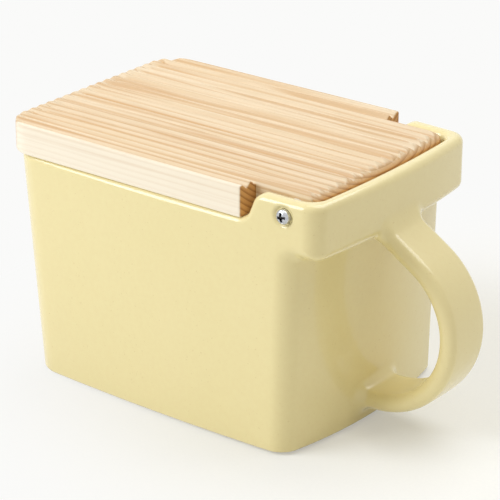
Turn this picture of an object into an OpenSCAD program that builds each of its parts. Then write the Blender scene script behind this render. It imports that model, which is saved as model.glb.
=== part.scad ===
// Salt box: a glazed ceramic tub with a strap handle and a grooved wooden lid
// that tips up on two screws through the ears of the rear collar.
// X runs from the front (-) to the handle (+), Y across, Z up.
// The origin is the middle of the whole outline, on the table.

/* [Tub] */
// length of the tub at its rim, front face to rear face
tub_len = 137.3; // [120:0.1:160]
// greatest width of the tub, half way along its sides
tub_w = 99.8; // [86:0.2:120]
// height of the rim that the lid rests on
rim_h = 88; // [76:0.5:106]
// thickness of the walls
wall_t = 6.4; // [5.6:0.1:7]
// thickness of the floor
floor_t = 6.5; // [5:0.5:9]
// lean of the front face from the vertical, in degrees
front_lean = 5.3; // [3:0.1:7]
// lean of the rear face from the vertical, in degrees
rear_lean = 1.1; // [0.5:0.1:2]
// radius of the front corners in plan
front_r = 12; // [10:0.5:14]
// radius of the rear corners in plan
rear_r = 6; // [6:1:10]
// height of the bare foot ring
foot_h = 1; // [0.6:0.1:1.6]

/* [Collar] */
// how far the collar's rear face stands out from the tub's rear face
collar_out = 7.9; // [7.5:0.1:9.5]
// thickness of the collar's rear wall
collar_t = 6.6; // [6:0.1:7]
// how far the collar hangs below the rim
collar_down = 10.5; // [10:0.5:14]
// height of the ears' top below the lid's top
ear_drop = 1.4; // [0.8:0.1:2]

/* [Handle] */
// distance from the collar's rear face to the strap's centre line
grip_reach = 26.6; // [22:0.1:32]
// width of the strap
strap_w = 22; // [18:0.5:27]
// thickness of the strap
strap_t = 7.5; // [6.2:0.1:9]

/* [Lid] */
// thickness of the board
lid_t = 12; // [11:0.1:14.4]
// how far the lid stands out over the front face
lid_over = 1.5; // [0.5:0.1:5]
// depth of the grooves in the top
groove_d = 1.9; // [1:0.1:2.2]
// number of grooves
groove_n = 20; // [12:2:22]

/* [Hinge] */
// distance of the hinge axis in front of the tub's rear face
hinge_in = 8.8; // [8.4:0.1:9.2]
// diameter of the screw shank
screw_d = 3; // [2.5:0.1:3.4]
// diameter of the screw head
head_d = 5.4; // [5:0.1:6]
// length of the screw under its head
screw_len = 22; // [18:0.5:26]

/* [Hidden] */
$fn = 96;
far = 260;              // longer than anything here, for cutting blocks
slab = 40;              // depth of a cutting block
over = 5;               // how far a cutter stands out past what it cuts
nip = 0.01;             // small overlap that keeps cuts clean
half_w = tub_w / 2;

// positions along the box before it is centred: 0 is the face of the lid's notches
rear_x = 27;
front_x = rear_x - tub_len;
hinge_x = rear_x - hinge_in;
lid_front_x = front_x - lid_over;
collar_x = rear_x + collar_out;
strap_x = collar_x + grip_reach;
centre_x = (lid_front_x + strap_x + strap_t / 2) / 2;

// bowed walls: radii in plan
side_bow_r = 1000;
side_mid_x = front_x + tub_len * 0.55;
rear_bow_r = 187;
collar_bow_r = 330;
well_bow_r = 500;
rim_arc_deg = 12;       // what a side's rounded rim spans of its bow
ear_arc_deg = 3;        // what an ear spans of it

// cavity
ear_spare = 0.2;        // the ears' walls are thicker than the rest by this
end_drop = half_w - side_y(hinge_x) + ear_spare;  // what the sides lose to their bow
in_half_w = half_w - end_drop - wall_t;
in_front_r = front_r - wall_t + 1;
in_rear_r = 5;
rear_spare = 3;         // the flat inner rear wall is thicker by the bow outside
side_low_r = 6;

// foot ring
foot_in = 2.4;
foot_w = 5;

// collar and ears
lid_top = rim_h + lid_t;
collar_top = lid_top - ear_drop;
collar_low = rim_h - collar_down;
well_d = 5.2;
well_floor = rim_h - well_d;
well_x = collar_x - collar_t;
well_r = 4;
bead_flat = 0.8;        // flat strip left along the top of the collar
bead_r = (min(collar_t, wall_t) - bead_flat) / 2;
low_r = 4;
lap_deg = 2;            // the corners' roundings run on past the corners
lap_cut = 0.06;         // and cut a hair deeper
corner_out = 0.02;      // what a corner's round stands out past its two faces
flank_x = 3;
flank_down = 6;
flank_lean = 22;
flank_top_r = 3.2;
flank_foot_r = 3;
rim_r = 2.6;

// hinge
hinge_down = 7;
hinge_z = lid_top - hinge_down;
ear_out_y = side_y(hinge_x);
seat_d = 0.8;
seat_y = ear_out_y - seat_d;
seat_r = 3.7;
seat_deg = 48;          // flare of the dished seat, from the screw's axis
flange_t = 0.6;
flange_r = head_d / 2 - 0.1;
sleeve_r = 2.3;
sleeve_clear = 0.05;
run_clear = 0.08;
shank_r = screw_d / 2;
head_h = 2;
dome_r = 3.7;
tip_h = 3;
tip_r = 0.3;
pilot_clear = 0.02;
pilot_spare = 0.5;
cross_w = 0.75;
cross_l = 3.2;
cross_d = 1;
spacer_r = 4;
spacer_clear = 0.15;

// lid
lid_inset = 0.9;
lid_half_w = half_w - lid_inset;
tongue_gap = 1.8;
tongue_half_w = in_half_w - tongue_gap;
tongue_r = 2.5;
lid_gap = 1.6;
lid_rear_x = well_x - lid_gap;
lid_bow_r = 530;
lid_front_r = 12;
groove_edge = 4;
groove_pitch = (2 * (lid_half_w - groove_edge)) / (groove_n - 1);
groove_half = groove_pitch * 0.46;
bevel_r = 7.4;
bevel_run = 6.2;
heel_r = 2;
tongue_spare_deg = 0.6;
tongue_deg = asin(tongue_half_w / lid_bow_r) + tongue_spare_deg;

// handle: a straight lead, one arc and a short tail in the XZ plane
edge_r = 3;
low_z = 11;
lead_deg = 32.6;
tail_deg = 4;
lead_drop = 1.4;        // where the lead's centre line meets the collar's rear face
lead_z = collar_low - lead_drop;
arc_share = 1 + cos(lead_deg) - tan(lead_deg) * (1 - sin(lead_deg));
arc_r = (lead_z - low_z - grip_reach * tan(lead_deg)) / arc_share;
arc_x = strap_x - arc_r;
arc_z = low_z + arc_r;
top_deg = 90 - lead_deg;
low_deg = 90 - tail_deg;
lead_len = 34;
root_deep = 12;         // how far the tail reaches in behind the tub's rear face
tail_len = arc_x - rear_x + root_deep;
root_grow = 0.15;
root_lap = 1;

// ---- helpers ----

// the corner outside a circle of radius r, on the side of +X and +Y
module corner_waste(r) {
    difference() {
        square(r * 2);
        circle(r);
    }
}

// the corner outside a fillet at (cx, cy), between directions a1 and a2
module plan_waste(cx, cy, r, a1, a2) {
    reach = r * 3;
    am = (a1 + a2) / 2;
    translate([cx, cy])
        difference() {
            polygon([
                [0, 0],
                [reach * cos(a1), reach * sin(a1)],
                [reach * 2 * cos(am), reach * 2 * sin(am)],
                [reach * cos(a2), reach * sin(a2)]
            ]);
            circle(r);
        }
}

// everything outside a bowed rear face of radius r with its middle at the origin
module bow_waste(r) {
    difference() {
        translate([-slab, -far / 2])
            square([2 * slab, far]);
        translate([-r, 0])
            circle(r, $fn = 720);
    }
}

// a piece and its mirror image on the other side
module both_sides() {
    children();
    mirror([0, 1, 0])
        children();
}

// upright block between the two bowed side faces
module between_sides(x0, x1, z0, z1) {
    intersection() {
        translate([side_mid_x, half_w - side_bow_r, z0])
            cylinder(r = side_bow_r, h = z1 - z0, $fn = 720);
        translate([side_mid_x, side_bow_r - half_w, z0])
            cylinder(r = side_bow_r, h = z1 - z0, $fn = 720);
        translate([x0, -half_w - 1, z0])
            cube([x1 - x0, tub_w + 2, z1 - z0]);
    }
}

// half width of the bowed tub at a place along it
function side_y(x) = half_w - side_bow_r + sqrt(pow(side_bow_r, 2) - pow(x - side_mid_x, 2));

// direction of the side's outward normal there
function side_turn(x) = 90 - asin((x - side_mid_x) / side_bow_r);

// centre of a corner of radius r between the bowed side and a bowed rear face
// of radius bow_r whose middle is at face_x
function corner_centre(face_x, bow_r, r) =
    let(
        dx = side_mid_x - (face_x - bow_r),
        dy = half_w - side_bow_r,
        d = sqrt(dx * dx + dy * dy),
        r1 = bow_r - r,
        r2 = side_bow_r - r,
        a = (r1 * r1 - r2 * r2 + d * d) / (2 * d),
        h = sqrt(r1 * r1 - a * a)
    )
    [
        face_x - bow_r + (a * dx - h * dy) / d + corner_out,
        (a * dy + h * dx) / d + corner_out
    ];

// ---- tub ----

// outside of the tub up to the rim, as if it were solid
module tub_block(z0, z1) {
    front_c = front_r - corner_out;
    rear_c = corner_centre(rear_x, rear_bow_r, rear_r);
    rear_dir = asin(rear_c[1] / (rear_bow_r - rear_r));
    difference() {
        between_sides(front_x - over, rear_x + over, z0, z1);
        translate([front_x, 0, rim_h])
            rotate([0, -front_lean, 0]) {
                translate([-slab, -far / 2, -far / 2])
                    cube([slab, far, far]);
                both_sides()
                    translate([0, 0, -far / 2])
                        linear_extrude(far)
                            plan_waste(front_c, side_y(front_x + front_c) - front_c,
                                front_r, side_turn(front_x + front_c), 180);
            }
        translate([rear_x, 0, rim_h])
            rotate([0, rear_lean, 0]) {
                translate([0, 0, -far / 2])
                    linear_extrude(far)
                        bow_waste(rear_bow_r);
                both_sides()
                    translate([0, 0, -far / 2])
                        linear_extrude(far)
                            plan_waste(rear_c[0] - rear_x, rear_c[1], rear_r,
                                rear_dir, side_turn(rear_c[0]));
            }
    }
}

// the rounded outer edge of the rim, along the front and both sides
module rim_waste() {
    translate([front_x, 0, rim_h])
        rotate([90, 0, 0])
            linear_extrude(far, center = true)
                translate([rim_r, -rim_r])
                    mirror([1, 0])
                        corner_waste(rim_r);
    both_sides()
        translate([side_mid_x, half_w - side_bow_r, rim_h])
            rotate([0, 0, 90 - rim_arc_deg / 2])
                rotate_extrude(angle = rim_arc_deg, $fn = 720)
                    translate([side_bow_r - rim_r, -rim_r])
                        corner_waste(rim_r);
}

// the salt's space
module cavity() {
    w = 2 * in_half_w;
    cav_front = front_x + wall_t;
    cav_rear = rear_x - wall_t - rear_spare;
    difference() {
        translate([cav_front - over, -in_half_w, floor_t])
            cube([cav_rear - cav_front + 2 * over, w, far]);
        translate([cav_front, 0, rim_h])
            rotate([0, -front_lean, 0]) {
                translate([-slab, -far / 2, -far / 2])
                    cube([slab, far, far]);
                both_sides()
                    translate([0, 0, -far / 2])
                        linear_extrude(far)
                            plan_waste(in_front_r, in_half_w - in_front_r,
                                in_front_r, 90, 180);
            }
        translate([cav_rear, 0, rim_h])
            rotate([0, rear_lean, 0]) {
                translate([0, -far / 2, -far / 2])
                    cube([slab, far, far]);
                both_sides()
                    translate([0, 0, -far / 2])
                        linear_extrude(far)
                            plan_waste(-in_rear_r, in_half_w - in_rear_r,
                                in_rear_r, 0, 90);
            }
        both_sides()
            translate([0, -in_half_w + side_low_r, floor_t + side_low_r])
                rotate([90, 0, 90])
                    linear_extrude(far, center = true)
                        rotate(180)
                            corner_waste(side_low_r);
    }
}

// the hollow behind the rim in which the lid's tongue swings
module well() {
    cy = in_half_w - well_r;
    cx = sqrt(pow(well_bow_r - well_r, 2) - pow(cy, 2)) - well_bow_r;
    dir = asin(cy / (well_bow_r - well_r));
    translate([well_x, 0, well_floor])
        linear_extrude(far)
            difference() {
                translate([-slab / 2, -in_half_w])
                    square([slab, 2 * in_half_w]);
                bow_waste(well_bow_r);
                both_sides()
                    plan_waste(cx, cy, well_r, dir, 90);
            }
}

// side view of the collar: the ears' front flank and the corners
module collar_side() {
    up = collar_top - collar_low;
    top_z = collar_top - flank_top_r;
    top_x = flank_x + (top_z - rim_h - flank_foot_r) * tan(flank_lean)
        + flank_top_r / cos(flank_lean);
    difference() {
        union() {
            translate([flank_x, collar_low])
                square([collar_x + over - flank_x, up]);
            translate([flank_x - flank_foot_r, rim_h - flank_down])
                square([flank_foot_r + nip, flank_foot_r + flank_down]);
        }
        translate([flank_x - flank_foot_r, rim_h + flank_foot_r])
            circle(flank_foot_r);
        translate([flank_x, rim_h + flank_foot_r])
            rotate(-flank_lean)
                translate([-slab, 0])
                    square([slab, far]);
        plan_waste(top_x - corner_out, top_z + corner_out, flank_top_r, 90, 180 - flank_lean);
    }
}

// outside of the collar with its ears, as if it were solid
module collar_block() {
    c = corner_centre(collar_x, collar_bow_r, rear_r);
    dir = asin(c[1] / (collar_bow_r - rear_r));
    intersection() {
        between_sides(-over, collar_x + over, collar_low, collar_top);
        rotate([90, 0, 0])
            linear_extrude(far, center = true)
                collar_side();
        difference() {
            translate([-over, -far / 2, collar_low])
                cube([collar_x + 2 * over, far, collar_top - collar_low]);
            translate([collar_x, 0, collar_low - over])
                linear_extrude(collar_top - collar_low + 2 * over) {
                    bow_waste(collar_bow_r);
                    both_sides()
                        plan_waste(c[0] - collar_x, c[1], rear_r, dir, side_turn(c[0]));
                }
            collar_edge_waste(c, dir);
        }
    }
}

// rounding of the collar's top and bottom edges at radius r, cut g deeper
module edge_waste_2d(r, g) {
    translate([r - bead_r - g, collar_top - bead_r - g])
        corner_waste(bead_r);
    translate([r - low_r - g, collar_low + low_r - lap_cut + g / 2])
        mirror([0, 1])
            corner_waste(low_r);
}

// rounded edges of the collar: along its rear, round its corners, along its sides
module collar_edge_waste(c, dir) {
    side_end = side_turn(c[0]);
    translate([collar_x - collar_bow_r, 0, 0])
        rotate([0, 0, -dir])
            rotate_extrude(angle = 2 * dir, $fn = 720)
                edge_waste_2d(collar_bow_r, 0);
    both_sides() {
        translate([c[0], c[1], 0])
            rotate([0, 0, dir - lap_deg])
                rotate_extrude(angle = side_end - dir + 2 * lap_deg)
                    edge_waste_2d(rear_r, lap_cut);
        translate([side_mid_x, half_w - side_bow_r, 0])
            rotate([0, 0, side_end])
                rotate_extrude(angle = ear_arc_deg, $fn = 720)
                    edge_waste_2d(side_bow_r, 0);
    }
}

// rounding of an inner top edge at radius r, cut g deeper
module well_waste_2d(r, g) {
    translate([r + bead_r + g, collar_top - bead_r - g])
        mirror([1, 0])
            corner_waste(bead_r);
}

// rounded inner top edges: along the rear wall, round its corners, along the ears
module well_edge_waste() {
    cy = in_half_w - well_r;
    cx = well_x + sqrt(pow(well_bow_r - well_r, 2) - pow(cy, 2)) - well_bow_r;
    dir = asin(cy / (well_bow_r - well_r));
    translate([well_x - well_bow_r, 0, 0])
        rotate([0, 0, -dir])
            rotate_extrude(angle = 2 * dir, $fn = 720)
                well_waste_2d(well_bow_r, 0);
    both_sides() {
        translate([cx, cy, 0])
            rotate([0, 0, dir - lap_deg])
                rotate_extrude(angle = 90 - dir + 2 * lap_deg)
                    well_waste_2d(well_r, lap_cut);
        rotate([90, 0, 90])
            linear_extrude(cx)
                well_waste_2d(in_half_w, 0);
    }
}

// bare ring that stands on the table
module foot() {
    intersection() {
        translate([foot_in, 0, 0])
            tub_block(0, foot_h + nip);
        translate([-foot_in, 0, 0])
            tub_block(0, foot_h + nip);
        translate([0, foot_in, 0])
            tub_block(0, foot_h + nip);
        translate([0, -foot_in, 0])
            tub_block(0, foot_h + nip);
    }
}

// the part of the underside that stays off the table
module foot_hollow() {
    inset = foot_in + foot_w;
    intersection() {
        translate([inset, 0, 0])
            tub_block(-1, foot_h);
        translate([-inset, 0, 0])
            tub_block(-1, foot_h);
        translate([0, inset, 0])
            tub_block(-1, foot_h);
        translate([0, -inset, 0])
            tub_block(-1, foot_h);
    }
}

// hole through an ear with the dished seat for the screw head
module ear_hole() {
    translate([hinge_x, 0, hinge_z])
        rotate([-90, 0, 0]) {
            cylinder(r = sleeve_r + sleeve_clear, h = half_w + over);
            translate([0, 0, seat_y])
                cylinder(r = seat_r, h = over);
            translate([0, 0, seat_y + nip])
                cylinder(r1 = seat_r, r2 = seat_r + over * tan(seat_deg), h = over);
        }
}

module tub() {
    color([0.9, 0.84, 0.58])
        difference() {
            union() {
                difference() {
                    tub_block(foot_h, rim_h);
                    rim_waste();
                }
                foot();
                collar_block();
            }
            foot_hollow();
            cavity();
            well();
            well_edge_waste();
            both_sides()
                ear_hole();
        }
}

// ---- handle ----

// rounded section of the strap, thickness along X, grown by g all round
module strap_section(g) {
    r = edge_r + g;
    t = strap_t + 2 * g;
    w = strap_w + 2 * g;
    square([t - 2 * r, w], center = true);
    square([t, w - 2 * r], center = true);
    for (sx = [-1, 1])
        for (sy = [-1, 1])
            translate([sx * (t / 2 - r), sy * (w / 2 - r)])
                circle(r, $fn = 48);
}

// straight root of the strap from the origin along +Y of its own plane
module strap_root(len) {
    rotate([-90, 0, 0])
        linear_extrude(len)
            strap_section(root_grow);
}

// the whole strap, running on into the collar and the tub
module strap() {
    translate([arc_x, 0, arc_z])
        rotate([90, 0, 0]) {
            rotate([0, 0, -low_deg])
                rotate_extrude(angle = top_deg + low_deg, $fn = 180)
                    translate([arc_r, 0])
                        strap_section(0);
            rotate([0, 0, top_deg])
                translate([arc_r, -root_lap, 0])
                    strap_root(lead_len + root_lap);
            rotate([0, 0, -low_deg])
                translate([arc_r, root_lap, 0])
                    mirror([0, 1, 0])
                        strap_root(tail_len + root_lap);
        }
}

module handle() {
    color([0.88, 0.81, 0.54])
        difference() {
            strap();
            tub_block(0, rim_h);
            collar_block();
        }
}

// ---- lid ----

// plan of the board with its notches and tongue
module lid_plan() {
    cy = tongue_half_w - tongue_r;
    cx = sqrt(pow(lid_bow_r - tongue_r, 2) - pow(cy, 2)) - lid_bow_r;
    dir = asin(cy / (lid_bow_r - tongue_r));
    difference() {
        union() {
            translate([lid_front_x, -lid_half_w])
                square([-lid_front_x, 2 * lid_half_w]);
            translate([-nip, -tongue_half_w])
                square([lid_rear_x + over, 2 * tongue_half_w]);
        }
        both_sides()
            plan_waste(lid_front_x + lid_front_r, lid_half_w - lid_front_r,
                lid_front_r, 90, 180);
        translate([lid_rear_x, 0]) {
            bow_waste(lid_bow_r);
            both_sides()
                plan_waste(cx + corner_out, cy + corner_out, tongue_r, dir, 90);
        }
    }
}

// one groove of the top
module groove() {
    translate([lid_front_x - over, 0, lid_top])
        rotate([90, 0, 90])
            linear_extrude(lid_rear_x - lid_front_x + 2 * over)
                polygon([
                    [-groove_half * 2, groove_d],
                    [groove_half * 2, groove_d],
                    [0, -groove_d]
                ]);
}

// thumb slope and rounded heel at the bowed end of the tongue
module tongue_end_waste() {
    translate([lid_rear_x - lid_bow_r, 0, 0])
        rotate([0, 0, -tongue_deg])
            rotate_extrude(angle = 2 * tongue_deg, $fn = 720) {
                translate([lid_bow_r - bevel_run, lid_top - bevel_r + lap_cut])
                    corner_waste(bevel_r);
                translate([lid_bow_r - heel_r, rim_h + heel_r])
                    mirror([0, 1])
                        corner_waste(heel_r);
            }
}

module lid() {
    color([0.93, 0.8, 0.6])
        difference() {
            translate([0, 0, rim_h])
                linear_extrude(lid_t)
                    lid_plan();
            for (i = [0 : groove_n - 1])
                translate([0, groove_edge - lid_half_w + i * groove_pitch, 0])
                    groove();
            tongue_end_waste();
            both_sides()
                pilot_hole();
        }
}

// hole that the screw bites into
module pilot_hole() {
    depth = screw_len - (seat_y + flange_t - tongue_half_w) + pilot_spare;
    translate([hinge_x, tongue_half_w - depth, hinge_z])
        rotate([-90, 0, 0])
            cylinder(r = shank_r + pilot_clear, h = depth + over);
}

// ---- hinge hardware ----

// pan-headed screw, its head's underside at the origin, shank along -Z
module screw() {
    difference() {
        union() {
            translate([0, 0, -screw_len + tip_h])
                cylinder(r = shank_r, h = screw_len - tip_h + nip);
            translate([0, 0, -screw_len])
                cylinder(r1 = tip_r, r2 = shank_r, h = tip_h + nip);
            intersection() {
                cylinder(r = head_d / 2, h = head_h);
                translate([0, 0, head_h - dome_r])
                    sphere(dome_r);
            }
        }
        translate([-cross_l / 2, -cross_w / 2, head_h - cross_d])
            cube([cross_l, cross_w, head_h]);
        translate([-cross_w / 2, -cross_l / 2, head_h - cross_d])
            cube([cross_w, cross_l, head_h]);
    }
}

module hinge_screws() {
    color([0.75, 0.76, 0.78])
        both_sides()
            translate([hinge_x, seat_y + flange_t, hinge_z])
                rotate([-90, 0, 0])
                    screw();
}

// flanged sleeve that lines the hole in the ear
module bush() {
    difference() {
        union() {
            translate([0, 0, seat_y])
                cylinder(r = flange_r, h = flange_t);
            translate([0, 0, in_half_w])
                cylinder(r = sleeve_r, h = seat_y - in_half_w + nip);
        }
        translate([0, 0, in_half_w - over])
            cylinder(r = shank_r + run_clear, h = half_w);
    }
}

module hinge_bushes() {
    color([0.85, 0.85, 0.82])
        both_sides()
            translate([hinge_x, 0, hinge_z])
                rotate([-90, 0, 0])
                    bush();
}

// washer that fills the gap between tongue and ear
module spacer() {
    difference() {
        cylinder(r = spacer_r, h = tongue_gap - spacer_clear);
        translate([0, 0, -over])
            cylinder(r = shank_r + run_clear, h = 2 * over);
    }
}

module hinge_spacers() {
    color([0.85, 0.85, 0.82])
        both_sides()
            translate([hinge_x, tongue_half_w, hinge_z])
                rotate([-90, 0, 0])
                    spacer();
}

translate([-centre_x, 0, 0]) {
    tub();
    handle();
    lid();
    hinge_screws();
    hinge_bushes();
    hinge_spacers();
}
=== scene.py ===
import math

import bpy
import numpy as np
from mathutils import Matrix, Vector


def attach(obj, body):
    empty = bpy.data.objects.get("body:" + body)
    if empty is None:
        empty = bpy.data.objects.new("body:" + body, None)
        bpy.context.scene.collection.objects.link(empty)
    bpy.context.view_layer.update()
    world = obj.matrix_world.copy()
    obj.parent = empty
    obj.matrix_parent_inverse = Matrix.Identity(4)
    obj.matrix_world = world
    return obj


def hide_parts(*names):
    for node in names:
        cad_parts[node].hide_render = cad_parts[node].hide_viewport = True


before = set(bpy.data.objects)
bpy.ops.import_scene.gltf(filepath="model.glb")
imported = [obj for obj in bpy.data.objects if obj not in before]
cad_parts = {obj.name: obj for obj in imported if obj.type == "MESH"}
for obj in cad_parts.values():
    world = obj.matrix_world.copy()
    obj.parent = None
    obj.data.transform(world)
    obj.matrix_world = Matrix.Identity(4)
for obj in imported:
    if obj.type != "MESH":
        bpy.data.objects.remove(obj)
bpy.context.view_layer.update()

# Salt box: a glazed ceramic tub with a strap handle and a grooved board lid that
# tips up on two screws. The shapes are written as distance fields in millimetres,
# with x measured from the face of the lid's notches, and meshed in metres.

MM = 0.001
SHIFT_X = 23.275            # from the notch face to the frame's origin


# ---- sizes, from the CAD ----

HALF_W = 49.9
RIM = 88.0
FRONT_X = -110.3
REAR_X = 27.0
FRONT_LEAN = math.radians(5.3)
REAR_LEAN = math.radians(1.1)
SIDE_BOW, SIDE_MID = 1000.0, -34.785
REAR_BOW = 187.0
FRONT_R, CORNER_R = 12.0, 6.0
BASE_Z, BASE_R = 1.0, 0.8
RIM_R, BEAD_R = 2.6, 2.8

COLLAR_X, COLLAR_BOW = 34.9, 330.0
COLLAR_TOP, COLLAR_LOW, COLLAR_LOW_R = 98.6, 77.5, 3.6
LEDGE_R = 2.6
FLANK_X, FLANK_Z, FLANK_LEAN = 3.0, 91.0, math.radians(22)
FLANK_TOP_R, FLANK_FOOT_R = 3.2, 3.0

IN_HALF_W = 41.9
IN_FRONT_X, IN_REAR_X = -103.9, 17.6
IN_FRONT_R, IN_REAR_R, IN_LOW_R = 6.6, 4.6, 6.0
IN_EDGE_R, IN_EAR_R = 2.2, 2.8          # rounding of the inner edge, at the rim and at the ears
EAR_RUN = 8.0                           # the edges change from one rounding to the other over this
FLOOR_Z = 6.5
WELL_X, WELL_BOW, WELL_Z = 28.3, 500.0, 82.8
WELL_LOW_R, WELL_LEDGE_R = 2.5, 1.5
FOOT_IN, FOOT_W, FOOT_R, FOOT_LAP = 2.4, 5.0, 0.5, 1.0
UNEVEN, UNEVEN_FROM = 0.022, 4.0        # depth of the cast waves, full from this height up

STRAP_ARC_R, STRAP_ARC_X, STRAP_ARC_Z = 31.08, 30.42, 42.08
STRAP_TOP, STRAP_LOW = math.radians(57.4), math.radians(-86)
STRAP_HALF_T, STRAP_HALF_W, STRAP_EDGE = 3.75, 11.0, 3.1
STRAP_CROWN, STRAP_END = 0.35, 21.0
ROOT_R = 4.2

HINGE_X, HINGE_Z = 18.2, 93.0
SEAT_Y, SEAT_R, SEAT_FLARE, SEAT_EDGE_R = 47.7, 3.4, math.radians(44), 0.5
BORE_R, BORE_SPARE = 2.36, 3.0

LID_FRONT, LID_REAR, LID_BOW = -111.8, 26.7, 530.0
LID_TOP, LID_HALF_W, TONGUE_HALF_W = 100.0, 49.0, 40.1
LID_FRONT_R, TONGUE_R, LID_EDGE, NOTCH_R = 12.0, 2.5, 0.8, 0.8
TONGUE_LAP = 12.0                       # the tongue starts this far inside the board
BEVEL_R, BEVEL_RUN, BEVEL_EDGE, HEEL_R = 7.4, 6.2, 0.3, 2.0
PILOT_CLEAR, PILOT_END = 0.03, 24.0
GROOVES, GROOVE_EDGE, GROOVE_D = 20, 4.0, 1.9
GROOVE_PITCH = 2 * (LID_HALF_W - GROOVE_EDGE) / (GROOVES - 1)
GROOVE_HALF = GROOVE_PITCH * 0.46
GROOVE_ROUND, GROOVE_LIP = 0.22, 0.03   # how blunt a groove's bottom and its ridge are
GROOVE_FADE, GROOVE_END = 6.0, 0.3      # the run-out at the front, and the share of depth left

HEAD_Y, HEAD_R, HEAD_H, DOME_R, HEAD_EDGE = 48.3, 2.7, 1.95, 3.7, 0.25
SHANK_R, SCREW_LEN, TIP_LEN, TIP_R = 1.5, 22.0, 3.0, 0.3
SHANK_LAP, NECK_R, TIP_SLOPE = 0.4, 0.15, 0.93
CROSS_TURN, CROSS_DEPTH, CROSS_EDGE = math.radians(8), 1.25, 0.08
ARM_HALF_W, ARM_HALF_L = 0.34, 1.3      # of the cross at its bottom; both widen upward
ARM_W_FLARE, ARM_L_FLARE = 0.16, 0.65
FAR = 1e3                               # a distance that never matters


# ---- distance fields: negative inside ----

def meet(a, b, r):
    """What is inside both, its edge rounded to r."""
    return np.minimum(-r, np.maximum(a, b)) + np.hypot(np.maximum(r + a, 0), np.maximum(r + b, 0))


def join(a, b, r):
    """What is inside either, the inner corner filled to r."""
    return -meet(-a, -b, r)


def ease(t):
    """Smooth step from 0 to 1."""
    t = np.clip(t, 0, 1)
    return t * t * (3 - 2 * t)


def bowed(u, y, r):
    """A face bowed outward across y with radius r, u its offset at the middle."""
    return np.hypot(u + r, y) - r


def side_face(x, y):
    """The tub's two bowed sides."""
    return np.hypot(x - SIDE_MID, np.abs(y) + SIDE_BOW - HALF_W) - SIDE_BOW


def front_face(x, z, at):
    """A leaning front face that is at x = at where it meets the rim's height."""
    return -(x - at) * math.cos(FRONT_LEAN) - (z - RIM) * math.sin(FRONT_LEAN)


def rear_offset(x, z, at):
    """The same for a rear face, as the offset that bowed takes."""
    return (x - at) * math.cos(REAR_LEAN) - (z - RIM) * math.sin(REAR_LEAN)


def pot_plan(x, y, z):
    """The tub's walls and the collar's, without top or bottom."""
    ledge = meet(bowed(x - COLLAR_X, y, COLLAR_BOW), COLLAR_LOW - z, COLLAR_LOW_R)
    rear = join(bowed(rear_offset(x, z, REAR_X), y, REAR_BOW), ledge, LEDGE_R)
    walls = meet(front_face(x, z, FRONT_X), side_face(x, y), FRONT_R)
    return meet(walls, rear, CORNER_R)


def pot_top(x, z):
    """The rim's height, rising by the ears' leaning flank to the collar's top."""
    flank = (z - FLANK_Z) * math.sin(FLANK_LEAN) - (x - FLANK_X) * math.cos(FLANK_LEAN)
    return join(z - RIM, meet(flank, z - COLLAR_TOP, FLANK_TOP_R), FLANK_FOOT_R)


def strap(x, y, z):
    """The handle: a straight lead, one arc and a short tail."""
    dx, dz = x - STRAP_ARC_X, z - STRAP_ARC_Z

    def section(u):
        crown = STRAP_CROWN * (y / STRAP_HALF_W) ** 2
        qu = np.abs(u) - STRAP_HALF_T + crown + STRAP_EDGE
        qy = np.abs(y) - STRAP_HALF_W + STRAP_EDGE
        outer = np.hypot(np.maximum(qu, 0), np.maximum(qy, 0))
        return outer + np.minimum(np.maximum(qu, qy), 0) - STRAP_EDGE

    def straight(a, way):
        u = dx * math.cos(a) + dz * math.sin(a) - STRAP_ARC_R
        along = way * (dz * math.cos(a) - dx * math.sin(a))
        return np.where(along >= 0, np.maximum(section(u), STRAP_END - x), FAR)

    turn = np.arctan2(dz, dx)
    on_arc = (turn < STRAP_TOP) & (turn > STRAP_LOW)
    arc = np.where(on_arc, section(np.hypot(dx, dz) - STRAP_ARC_R), FAR)
    return np.minimum(arc, np.minimum(straight(STRAP_TOP, 1), straight(STRAP_LOW, -1)))


def pot_hollow(x, y, z):
    """The salt's space with the well behind it for the lid's tongue."""
    well = meet(bowed(x - WELL_X, y, WELL_BOW), WELL_Z - z, WELL_LOW_R)
    rear = join(rear_offset(x, z, IN_REAR_X), well, WELL_LEDGE_R)
    plan = meet(front_face(x, z, IN_FRONT_X), np.abs(y) - IN_HALF_W, IN_FRONT_R)
    return meet(meet(plan, rear, IN_REAR_R), FLOOR_Z - z, IN_LOW_R)


def screw_dish(y, reach):
    """The dished seat of a screw's head, reach being the distance from the hinge's axis."""
    out = np.abs(y) - SEAT_Y
    cone = reach - SEAT_R - np.maximum(out, 0) * math.tan(SEAT_FLARE)
    return np.maximum(cone * math.cos(SEAT_FLARE), -out)


def unevenness(x, y, z):
    """Long shallow waves of a cast and glazed face."""
    wave = np.sin(x / 17 + 1.3) * np.sin(y / 13 + 0.7) + np.sin(z / 15 + x / 31)
    return UNEVEN * (2 + wave) * ease(z / UNEVEN_FROM)


def pot(x, y, z):
    """The whole ceramic piece: tub, collar, handle and foot ring."""
    plan = pot_plan(x, y, z)
    ear = ease((x - FLANK_X) / EAR_RUN)
    shape = meet(plan, pot_top(x, z), RIM_R + (BEAD_R - RIM_R) * ear)
    shape = meet(shape, BASE_Z - z, BASE_R)
    shape = join(shape, strap(x, y, z), ROOT_R)
    shape = meet(shape, -pot_hollow(x, y, z), IN_EDGE_R + (IN_EAR_R - IN_EDGE_R) * ear)
    reach = np.hypot(x - HINGE_X, z - HINGE_Z)
    shape = meet(shape, -screw_dish(y, reach), SEAT_EDGE_R)
    shape = np.maximum(shape, -np.maximum(reach - BORE_R, IN_HALF_W - BORE_SPARE - np.abs(y)))
    foot = meet(np.abs(plan + FOOT_IN + FOOT_W / 2) - FOOT_W / 2, -z, FOOT_R)
    shape = np.minimum(shape, np.maximum(foot, z - BASE_Z - FOOT_LAP))
    return shape + unevenness(x, y, z)


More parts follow.
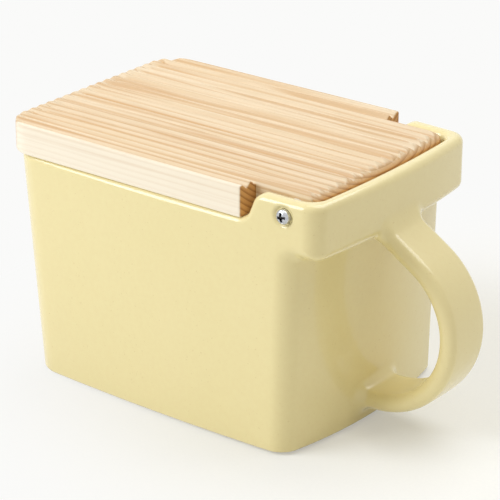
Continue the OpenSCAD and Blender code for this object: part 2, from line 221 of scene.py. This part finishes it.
def groove_depth(y):
    """Depth of the V grooves below the board's top."""
    first = GROOVE_EDGE - LID_HALF_W
    nearest = np.clip(np.round((y - first) / GROOVE_PITCH), 0, GROOVES - 1)
    off = np.hypot(y - first - nearest * GROOVE_PITCH, GROOVE_ROUND)
    v = GROOVE_D * (1 - off / GROOVE_HALF)
    return (v + np.sqrt(v * v + GROOVE_LIP)) / 2


def board(x, y, z):
    """The lid: a board with notches for the ears, a tongue and a grooved top."""
    across = np.abs(y)
    front = meet(LID_FRONT - x, across - LID_HALF_W, LID_FRONT_R)
    front = meet(front, x, NOTCH_R)
    tail = bowed(x - LID_REAR, y, LID_BOW)
    tongue = np.maximum(meet(across - TONGUE_HALF_W, tail, TONGUE_R), -x - TONGUE_LAP)
    shape = np.minimum(front, tongue)
    slope = math.cos(math.atan(GROOVE_D / GROOVE_HALF))
    shape = meet(shape, RIM - z, LID_EDGE)
    share = GROOVE_END + (1 - GROOVE_END) * ease((x - LID_FRONT - LID_EDGE) / GROOVE_FADE)
    shape = meet(shape, (z - LID_TOP + groove_depth(y) * share) * slope, LID_EDGE)
    over_x, over_z = np.maximum(tail + BEVEL_RUN, 0), np.maximum(z - LID_TOP + BEVEL_R, 0)
    shape = meet(shape, np.hypot(over_x, over_z) - BEVEL_R, BEVEL_EDGE)
    shape = np.maximum(shape, meet(tail, RIM - z, HEEL_R))
    reach = np.hypot(x - HINGE_X, z - HINGE_Z)
    hole = np.maximum(reach - SHANK_R - PILOT_CLEAR, PILOT_END - across)
    return np.maximum(shape, -hole)


def cross_recess(x, z, out):
    """The recess of a screw's head, turned a little, widening towards the top."""
    c, s = math.cos(CROSS_TURN), math.sin(CROSS_TURN)
    u = (x - HINGE_X) * c + (z - HINGE_Z) * s
    v = (z - HINGE_Z) * c - (x - HINGE_X) * s
    sink = out - HEAD_H + CROSS_DEPTH
    arm_w, arm_l = ARM_HALF_W + ARM_W_FLARE * sink, ARM_HALF_L + ARM_L_FLARE * sink
    across = np.maximum(np.abs(u) - arm_l, np.abs(v) - arm_w)
    along = np.maximum(np.abs(v) - arm_l, np.abs(u) - arm_w)
    return np.maximum(np.minimum(across, along), -sink)


def pan_head_screw(x, y, z):
    """One screw on the +Y side, its axis along Y."""
    r = np.hypot(x - HINGE_X, z - HINGE_Z)
    out = y - HEAD_Y
    dome = np.hypot(r, out - HEAD_H + DOME_R) - DOME_R
    head = meet(np.maximum(r - HEAD_R, -out), dome, HEAD_EDGE)
    head = meet(head, -cross_recess(x, z, out), CROSS_EDGE)
    taper = np.clip((out + SCREW_LEN) / TIP_LEN, 0, 1)
    shank = (r - TIP_R - (SHANK_R - TIP_R) * taper) * TIP_SLOPE
    shank = np.maximum(shank, np.maximum(-SCREW_LEN - out, out - SHANK_LAP))
    return join(head, shank, NECK_R)


# ---- meshing ----

def spaced(*stops):
    """Grid lines from one stop to the next: (place, step after it), then the end."""
    lines = []
    for (a, step), after in zip(stops[:-1], stops[1:]):
        n = max(1, round((after[0] - a) / step))
        lines.extend(np.linspace(a, after[0], n, endpoint=False))
    return np.array(lines + [stops[-1][0]])


def mirrored(half):
    """Grid lines on both sides of 0 from those at 0 and above."""
    return np.concatenate([-half[:0:-1], half])


def slope_of(field, p, h=0.02):
    """Gradient of a field at points."""
    g = np.empty_like(p)
    for axis in range(3):
        step = np.zeros(3)
        step[axis] = h
        g[:, axis] = (field(*(p + step).T) - field(*(p - step).T)) / (2 * h)
    return g


def settle(field, p, rounds=2):
    """Moves points onto the surface, and gives the normals there."""
    for _ in range(rounds):
        g = slope_of(field, p)
        near = np.clip(field(*p.T) / np.maximum((g * g).sum(1), 0.05), -0.8, 0.8)
        p = p - g * near[:, None]
    g = slope_of(field, p)
    return p, g / np.maximum(np.linalg.norm(g, axis=1, keepdims=True), 1e-9)


def surface(field, xs, ys, zs, relax=3):
    """Points, quads and normals of a field's surface on a grid, by surface nets."""
    f = field(xs[:, None, None], ys[None, :, None], zs[None, None, :])
    inside = f < 0
    cells = tuple(n - 1 for n in f.shape)
    corner = [(c & 1, c >> 1 & 1, c >> 2 & 1) for c in range(8)]

    def at(a, c):
        return a[tuple(slice(o, o + n) for o, n in zip(corner[c], cells))]

    count = sum(at(inside, c).astype(np.int8) for c in range(8))
    found = np.argwhere((count > 0) & (count < 8))
    index = np.full(cells, -1, np.int64)
    index[tuple(found.T)] = np.arange(len(found))
    value = [f[tuple((found + corner[c]).T)] for c in range(8)]
    grid = (xs, ys, zs)
    place = [np.stack([grid[k][(found + corner[c])[:, k]] for k in range(3)], 1) for c in range(8)]
    total, hits = np.zeros((len(found), 3)), np.zeros(len(found))
    for a in range(8):
        for bit in (1, 2, 4):
            b = a | bit
            if b == a:
                continue
            cross = (value[a] < 0) != (value[b] < 0)
            t = np.where(cross, value[a] / np.where(cross, value[a] - value[b], 1), 0)[:, None]
            total += np.where(cross[:, None], place[a] + t * (place[b] - place[a]), 0)
            hits += cross
    p = total / hits[:, None]

    quads = []
    for axis in range(3):
        u, v = (axis + 1) % 3, (axis + 2) % 3
        low = [slice(1, -1)] * 3
        low[axis] = slice(0, -1)
        high = list(low)
        high[axis] = slice(1, None)
        a, b = inside[tuple(low)], inside[tuple(high)]
        for mask, flip in ((a & ~b, False), (~a & b, True)):
            at_edge = np.argwhere(mask)
            at_edge[:, u] += 1
            at_edge[:, v] += 1
            ring = []
            for du, dv in ((-1, -1), (0, -1), (0, 0), (-1, 0)):
                cell = at_edge.copy()
                cell[:, u] += du
                cell[:, v] += dv
                ring.append(index[tuple(cell.T)])
            quads.append(np.stack(ring[::-1] if flip else ring, 1))
    quads = np.concatenate(quads)

    ends = np.concatenate([quads[:, [i, (i + 1) % 4]] for i in range(4)])
    ends = np.concatenate([ends, ends[:, ::-1]])
    degree = np.bincount(ends[:, 0], minlength=len(p))[:, None]
    for _ in range(relax):
        total = np.stack([np.bincount(ends[:, 0], p[ends[:, 1], k], len(p)) for k in range(3)], 1)
        normal = slope_of(field, p)
        normal /= np.maximum(np.linalg.norm(normal, axis=1, keepdims=True), 1e-9)
        move = total / degree - p
        move -= normal * (move * normal).sum(1)[:, None]
        p = settle(field, p + 0.5 * move, 1)[0]
    p, normal = settle(field, p)
    return p, quads, normal


def add_piece(name, parts, material, body, slot, *nodes):
    """One object from meshed parts, riding on a body and standing for CAD nodes."""
    points, faces, normals, start = [], [], [], 0
    for p, q, n in parts:
        points.append((p + [SHIFT_X, 0, 0]) * MM)
        faces.append(q + start)
        normals.append(n)
        start += len(p)
    mesh = bpy.data.meshes.new(name)
    mesh.from_pydata(np.concatenate(points).tolist(), [], np.concatenate(faces).tolist())
    mesh.polygons.foreach_set("use_smooth", np.ones(len(mesh.polygons), bool))
    mesh.normals_split_custom_set_from_vertices(np.concatenate(normals).tolist())
    mesh.materials.append(material)
    piece = bpy.data.objects.new(name, mesh)
    bpy.context.scene.collection.objects.link(piece)
    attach(piece, body)
    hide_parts(*nodes)


# ---- materials ----

class Nodes:
    """Short hand for a material's node tree."""

    def __init__(self, name):
        self.material = bpy.data.materials.new(name)
        self.material.use_nodes = True
        self.tree = self.material.node_tree
        self.tree.nodes.clear()
        self.out = self.tree.nodes.new("ShaderNodeOutputMaterial")
        self.coords = self.tree.nodes.new("ShaderNodeTexCoord")

    def link(self, a, b):
        self.tree.links.new(a, b)

    def put(self, socket, value):
        if isinstance(value, bpy.types.NodeSocket):
            self.link(value, socket)
        else:
            socket.default_value = value

    def math(self, operation, a, b=0.0):
        node = self.tree.nodes.new("ShaderNodeMath")
        node.operation = operation
        self.put(node.inputs[0], a)
        self.put(node.inputs[1], b)
        return node.outputs[0]

    def length(self, a, b):
        """Length of the vector (a, b)."""
        squares = self.math("MULTIPLY", a, a), self.math("MULTIPLY", b, b)
        return self.math("SQRT", self.math("ADD", *squares))

    def span(self, value, lo, hi, to_lo=0.0, to_hi=1.0):
        """Smooth step of a value from lo..hi to to_lo..to_hi."""
        node = self.tree.nodes.new("ShaderNodeMapRange")
        node.interpolation_type = "SMOOTHSTEP"
        self.put(node.inputs[0], value)
        for socket, v in zip(node.inputs[1:5], (lo, hi, to_lo, to_hi)):
            socket.default_value = v
        return node.outputs[0]

    def stretch(self, vector, scale):
        node = self.tree.nodes.new("ShaderNodeMapping")
        self.link(vector, node.inputs[0])
        node.inputs["Scale"].default_value = scale
        return node.outputs[0]

    def noise(self, vector, scale, detail=2.0, rough=0.5):
        node = self.tree.nodes.new("ShaderNodeTexNoise")
        self.link(vector, node.inputs["Vector"])
        node.inputs["Scale"].default_value = scale
        node.inputs["Detail"].default_value = detail
        node.inputs["Roughness"].default_value = rough
        return node.outputs["Fac"]

    def blend(self, share, a, b, kind="MIX"):
        node = self.tree.nodes.new("ShaderNodeMix")
        node.data_type = "RGBA"
        node.blend_type = kind
        self.put(node.inputs[0], share)
        self.put(node.inputs[6], a)
        self.put(node.inputs[7], b)
        return node.outputs[2]

    def parts(self, vector):
        node = self.tree.nodes.new("ShaderNodeSeparateXYZ")
        self.link(vector, node.inputs[0])
        return node.outputs

    def bump(self, height, strength, distance, under=None):
        node = self.tree.nodes.new("ShaderNodeBump")
        self.link(height, node.inputs["Height"])
        node.inputs["Strength"].default_value = strength
        node.inputs["Distance"].default_value = distance
        if under is not None:
            self.link(under, node.inputs["Normal"])
        return node.outputs[0]

    def shader(self, **values):
        node = self.tree.nodes.new("ShaderNodeBsdfPrincipled")
        for key, value in values.items():
            self.put(node.inputs[key.replace("_", " ")], value)
        self.link(node.outputs[0], self.out.inputs["Surface"])
        return node


def rgb(r, g, b):
    """An sRGB colour, 0 to 255, as the linear one that a socket takes."""
    shares = (r / 255, g / 255, b / 255)
    lin = [c / 12.92 if c <= 0.04045 else ((c + 0.055) / 1.055) ** 2.4 for c in shares]
    return (*lin, 1.0)


GLAZE_RAGGED = 0.0005               # in metres, like all lengths in this part
GLAZE_ENDS = (0.0007, 0.0010)       # heights between which the glaze gives way to clay
RING_AXIS_Z = 0.158                 # the trunk's middle, above the board
RING_PITCH = 0.0019
SAPWOOD = (0.0752, 0.0772)          # distances from the trunk's middle where the paler wood starts
RECESS_SHADE_DEPTH = (0.22, 0.06)         # in mm, below the head's dome: where the recess's painted shade is full, and where there is none
RECESS_SHADE_REACH = (0.0023, 0.0025)


def glaze_material():
    """Pale lemon glaze, pooled a little unevenly, bare clay under the foot."""
    n = Nodes("lemon_glaze")
    at = n.coords.outputs["Object"]
    cloud = n.span(n.noise(at, 28, 3), 0.25, 0.75)
    colour = n.blend(cloud, rgb(238, 226, 174), rgb(237, 225, 172))
    fine = n.span(n.noise(at, 520, 2), 0.3, 0.7)
    colour = n.blend(fine, colour, n.blend(1.0, colour, rgb(254, 253, 252), "MULTIPLY"))
    speck = n.span(n.noise(at, 1500, 0), 0.79, 0.83)
    colour = n.blend(n.math("MULTIPLY", speck, 0.2), colour, rgb(190, 160, 90))
    height = n.parts(at)[2]
    edge = n.math("ADD", height, n.math("MULTIPLY", n.noise(at, 300), GLAZE_RAGGED))
    bare = n.span(edge, *GLAZE_ENDS, 1.0, 0.0)
    clay = n.blend(n.span(n.noise(at, 900), 0.3, 0.7), rgb(214, 200, 176), rgb(196, 180, 154))
    colour = n.blend(bare, colour, clay)
    rough = n.span(n.noise(at, 60, 2), 0.3, 0.7, 0.20, 0.24)
    rough = n.math("ADD", rough, n.math("MULTIPLY", bare, 0.5))
    ripple = n.bump(n.noise(at, 40, 0), 0.04, 0.0006)
    peel = n.bump(n.noise(at, 420, 2), 0.02, 0.0001, ripple)
    n.shader(Base_Color=colour, Roughness=rough, Normal=peel, IOR=1.46,
             Coat_Weight=0.45, Coat_Roughness=0.03)
    return n.material


def board_material():
    """Pale softwood: growth rings about an axis over the board, fine fibres, and end grain, partly
    its own darker colour and partly painted shade.
    """
    n = Nodes("pine_board")
    at = n.coords.outputs["Object"]
    drift = n.noise(n.stretch(at, (3, 16, 16)), 1, 1)
    wobble = n.noise(n.stretch(at, (14, 60, 60)), 1, 1)
    x, y, z = n.parts(at)
    y = n.math("ADD", y, n.math("MULTIPLY", n.math("SUBTRACT", drift, 0.5), 0.009))
    up = n.math("SUBTRACT", z, RING_AXIS_Z)
    ring = n.length(y, up)
    ring = n.math("ADD", ring, n.math("MULTIPLY", wobble, 0.0012))
    year = n.math("FRACT", n.math("DIVIDE", ring, RING_PITCH))
    late = n.math("MULTIPLY", n.span(year, 0.35, 0.86), n.span(year, 0.90, 1.0, 1.0, 0.0))
    fibre = n.noise(n.stretch(at, (22, 900, 900)), 1, 3, 0.6)
    vein = n.noise(n.stretch(at, (9, 640, 640)), 1, 2)
    early = n.blend(n.span(fibre, 0.35, 0.65), rgb(232, 216, 191), rgb(225, 206, 177))
    sap = n.span(ring, *SAPWOOD)
    early = n.blend(sap, early, rgb(249, 241, 227))
    strong = n.math("MULTIPLY", late, n.span(sap, 0, 1, 0.55, 0.09))
    colour = n.blend(strong, early, rgb(198, 156, 105))
    faint = n.span(sap, 0, 1, 0.55, 0.12)
    streak = n.math("MULTIPLY", n.span(vein, 0.50, 0.68), faint)
    colour = n.blend(streak, colour, rgb(198, 154, 105))
    tone = n.span(n.noise(n.stretch(at, (3, 30, 30)), 1, 2), 0.3, 0.7)
    colour = n.blend(n.math("MULTIPLY", tone, 0.2), colour, rgb(223, 191, 142))
    # End faces across x: darker like real end grain, and darker still as painted shade of the
    # shaded notch ends.
    nx = n.math("ABSOLUTE", n.parts(n.coords.outputs["Normal"])[0])
    end = n.span(nx, 0.45, 0.95)
    end_grain_and_shade = n.blend(n.math("MULTIPLY", late, 0.8), rgb(210, 160, 99), rgb(165, 110, 58))
    colour = n.blend(end, colour, end_grain_and_shade)
    rough = n.span(fibre, 0.3, 0.7, 0.50, 0.62)
    grain = n.bump(fibre, 0.35, 0.00012)
    rings = n.bump(late, 0.25, 0.00015, grain)
    n.shader(Base_Color=colour, Roughness=rough, Normal=rings, IOR=1.45)
    return n.material


def metal_material():
    """Plated steel with fine turning marks, and painted shade in the cross recess."""
    n = Nodes("plated_steel")
    at = n.coords.outputs["Object"]
    scratch = n.noise(n.stretch(at, (900, 900, 2600)), 1, 3)
    colour = n.blend(n.span(scratch, 0.3, 0.7), rgb(206, 208, 212), rgb(186, 188, 194))
    x, y, z = n.parts(at)
    off_x = n.math("SUBTRACT", x, (HINGE_X + SHIFT_X) * MM)
    off_z = n.math("SUBTRACT", z, HINGE_Z * MM)
    out = n.math("SUBTRACT", n.math("ABSOLUTE", y), (HEAD_Y + HEAD_H - DOME_R) * MM)
    radius = n.length(off_x, off_z)
    dome = n.length(radius, out)
    # The cross recess is painted near black: painted shade, as the recess lies in shadow.
    deep, shallow = ((DOME_R - depth) * MM for depth in RECESS_SHADE_DEPTH)
    recess_shade = n.span(dome, deep, shallow, 1.0, 0.0)
    recess_shade = n.math("MULTIPLY", recess_shade, n.span(radius, *RECESS_SHADE_REACH, 1.0, 0.0))
    colour = n.blend(n.math("MULTIPLY", recess_shade, 0.9), colour, rgb(52, 46, 40))
    rough = n.span(n.noise(at, 1200, 2), 0.3, 0.7, 0.20, 0.34)
    marks = n.bump(scratch, 0.15, 0.00003)
    n.shader(Base_Color=colour, Metallic=1.0, Roughness=rough, Normal=marks)
    return n.material


def nylon_material():
    """Natural nylon, slightly mottled, with a fine moulded texture."""
    n = Nodes("natural_nylon")
    at = n.coords.outputs["Object"]
    mottle = n.span(n.noise(at, 500, 2), 0.3, 0.7)
    colour = n.blend(mottle, rgb(232, 230, 220), rgb(222, 219, 206))
    rough = n.span(n.noise(at, 1500, 1), 0.3, 0.7, 0.42, 0.55)
    skin = n.bump(n.noise(at, 2500, 1), 0.15, 0.00003)
    n.shader(Base_Color=colour, Roughness=rough, Normal=skin, IOR=1.53)
    return n.material


def floor_material():
    """White paper that turns into the plain background away from the object."""
    n = Nodes("white_sweep")
    at = n.coords.outputs["Object"]
    x, y = n.parts(at)[:2]
    x = n.math("SUBTRACT", x, SHADE_AT[0])
    y = n.math("SUBTRACT", y, SHADE_AT[1])
    away = n.length(x, y)
    tooth = n.span(n.noise(at, 900, 2), 0.2, 0.8)
    paper = n.tree.nodes.new("ShaderNodeBsdfDiffuse")
    n.put(paper.inputs[0], n.blend(tooth, FLOOR_COLOUR, FLOOR_COLOUR_2))
    glow = n.tree.nodes.new("ShaderNodeEmission")
    glow.inputs[0].default_value = BACKGROUND
    path = n.tree.nodes.new("ShaderNodeLightPath")
    seen = n.math("MAXIMUM", path.outputs["Is Camera Ray"], path.outputs["Is Glossy Ray"])
    seen = n.math("MAXIMUM", seen, path.outputs["Is Transmission Ray"])
    far = n.math("MULTIPLY", n.span(away, *SHADE_SPAN, SHADE_LEAST, 1.0), seen)
    mix = n.tree.nodes.new("ShaderNodeMixShader")
    n.put(mix.inputs[0], far)
    n.link(paper.outputs[0], mix.inputs[1])
    n.link(glow.outputs[0], mix.inputs[2])
    n.link(mix.outputs[0], n.out.inputs["Surface"])
    return n.material


# ---- camera, floor and lights ----

BACKGROUND = rgb(250, 250, 249)
SHADE_AT = (0.06, 0.03)     # middle of the paper's shaded part
SHADE_SPAN = (0.05, 0.21)   # distances from it over which the paper turns into background
SHADE_LEAST = 0.34          # the background's share in the middle
FLOOR_COLOUR = rgb(244, 245, 243)
FLOOR_COLOUR_2 = rgb(241, 242, 240)
AZIMUTH, ELEVATION, ROLL = (math.radians(v) for v in (37.428, 23.087, 0.162))
CAMERA_AT = Vector((0.469365, -0.626117, 0.387083))
LENS, SENSOR = 164.025, 36.0
FLOOR_HALF = 1.6
FILL_COLOUR = (1.0, 0.88, 0.62, 1)
FILL_LEVEL = 0.41
LAMP_COLOUR = (0.97, 1.0, 1.06)
LAMP_AIM = Vector((0, 0, 0.05))
LAMPS = {                   # place, size and power
    "key": ((-0.75, -0.95, 0.95), (0.8, 0.8), 13.5),
    "top": ((0.15, 0.45, 1.15), (1.1, 0.9), 8.5),
}


def add_camera():
    right = Vector((math.cos(AZIMUTH), math.sin(AZIMUTH), 0))
    level = math.cos(ELEVATION)
    back = Vector((math.sin(AZIMUTH) * level, -math.cos(AZIMUTH) * level, math.sin(ELEVATION)))
    up = back.cross(right)
    c, s = math.cos(ROLL), math.sin(ROLL)
    columns = (right * c + up * s, up * c - right * s, back)
    data = bpy.data.cameras.new("camera")
    data.lens, data.sensor_width = LENS, SENSOR
    camera = bpy.data.objects.new("camera", data)
    bpy.context.scene.collection.objects.link(camera)
    camera.matrix_world = Matrix.Translation(CAMERA_AT) @ Matrix(columns).transposed().to_4x4()
    bpy.context.scene.camera = camera


def add_floor():
    signs = ((-1, -1), (1, -1), (1, 1), (-1, 1))
    corners = [(sx * FLOOR_HALF, sy * FLOOR_HALF, 0) for sx, sy in signs]
    mesh = bpy.data.meshes.new("floor")
    mesh.from_pydata(corners, [], [(0, 1, 2, 3)])
    mesh.materials.append(floor_material())
    floor = bpy.data.objects.new("floor", mesh)
    bpy.context.scene.collection.objects.link(floor)


def add_softbox(name, at, size, power):
    """A square lamp that faces the object."""
    data = bpy.data.lights.new(name, "AREA")
    data.color = LAMP_COLOUR
    data.shape = "RECTANGLE"
    data.size, data.size_y = size
    data.energy = power
    lamp = bpy.data.objects.new(name, data)
    lamp.location = at
    lamp.rotation_euler = (Vector(at) - LAMP_AIM).to_track_quat("Z", "Y").to_euler()
    bpy.context.scene.collection.objects.link(lamp)


def light_world():
    """Even studio light, and the plain background where the camera, gloss or glass sees it."""
    world = bpy.data.worlds.new("studio")
    world.use_nodes = True
    nodes, link = world.node_tree.nodes, world.node_tree.links.new
    nodes.clear()
    out = nodes.new("ShaderNodeOutputWorld")
    fill, white = nodes.new("ShaderNodeBackground"), nodes.new("ShaderNodeBackground")
    fill.inputs[0].default_value = FILL_COLOUR
    fill.inputs[1].default_value = FILL_LEVEL
    white.inputs[0].default_value = BACKGROUND
    path = nodes.new("ShaderNodeLightPath")
    mirrored_or_through, seen = nodes.new("ShaderNodeMath"), nodes.new("ShaderNodeMath")
    seen.use_clamp = True
    mix = nodes.new("ShaderNodeMixShader")
    link(path.outputs["Is Glossy Ray"], mirrored_or_through.inputs[0])
    link(path.outputs["Is Transmission Ray"], mirrored_or_through.inputs[1])
    link(path.outputs["Is Camera Ray"], seen.inputs[0])
    link(mirrored_or_through.outputs[0], seen.inputs[1])
    link(seen.outputs[0], mix.inputs[0])
    link(fill.outputs[0], mix.inputs[1])
    link(white.outputs[0], mix.inputs[2])
    link(mix.outputs[0], out.inputs[0])
    bpy.context.scene.world = world


def build_stage():
    scene = bpy.context.scene
    scene.view_settings.view_transform = "Standard"
    add_camera()
    add_floor()
    light_world()
    for name, lamp in LAMPS.items():
        add_softbox(name, *lamp)


# ---- the object: grid lines in mm, closest where an edge runs ----

def build_pot(glaze):
    xs = spaced((-113, 0.8), (-99, 1.9), (-4, 1.0), (2, 0.65), (38, 1.1), (56, 0.9), (66.5, 1))
    ys = mirrored(spaced((0, 1.7), (6.8, 0.7), (12.6, 1.8), (36, 1.0), (39.5, 0.65), (51, 1)))
    zs = spaced((-1, 0.5), (3.5, 1.3), (12, 1.5), (72, 0.9), (78, 0.7), (100, 1))
    parts = [surface(pot, xs, ys, zs)]
    add_piece("tub_and_handle", parts, glaze, "box", "glaze", "tub", "handle")


def build_lid(wood):
    xs = spaced((-115.5, 0.6), (-103, 3.4), (-4, 0.6), (2, 2.4), (17, 0.6), (28.5, 1))
    half = spaced((0, GROOVE_PITCH / 12), (51, 1))
    zs = spaced((87, 0.5), (90, 1.3), (96.5, 0.4), (101, 1))
    add_piece("board_lid", [surface(board, xs, mirrored(half), zs)], wood, "lid", "board", "lid")


def build_screws(metal):
    around = mirrored(spaced((0, 0.12), (3.0, 1)))
    xs, zs = HINGE_X + around, HINGE_Z + around
    ys = spaced((25.5, 0.6), (47.2, 0.12), (50.6, 1))
    p, q, normal = surface(pan_head_screw, xs, ys, zs, 2)
    flip = np.array([1, -1, 1])
    parts = [(p, q, normal), (p * flip, q[:, ::-1], normal * flip)]
    add_piece("pan_head_screws", parts, metal, "lid", "screw", "hinge_screws")


def finish_nodes(names, material):
    """Gives carried-over CAD nodes their material."""
    for name in names:
        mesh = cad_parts[name].data
        mesh.materials.clear()
        mesh.materials.append(material)


build_stage()
build_pot(glaze_material())
build_lid(board_material())
build_screws(metal_material())
finish_nodes(("hinge_bushes", "hinge_spacers"), nylon_material())
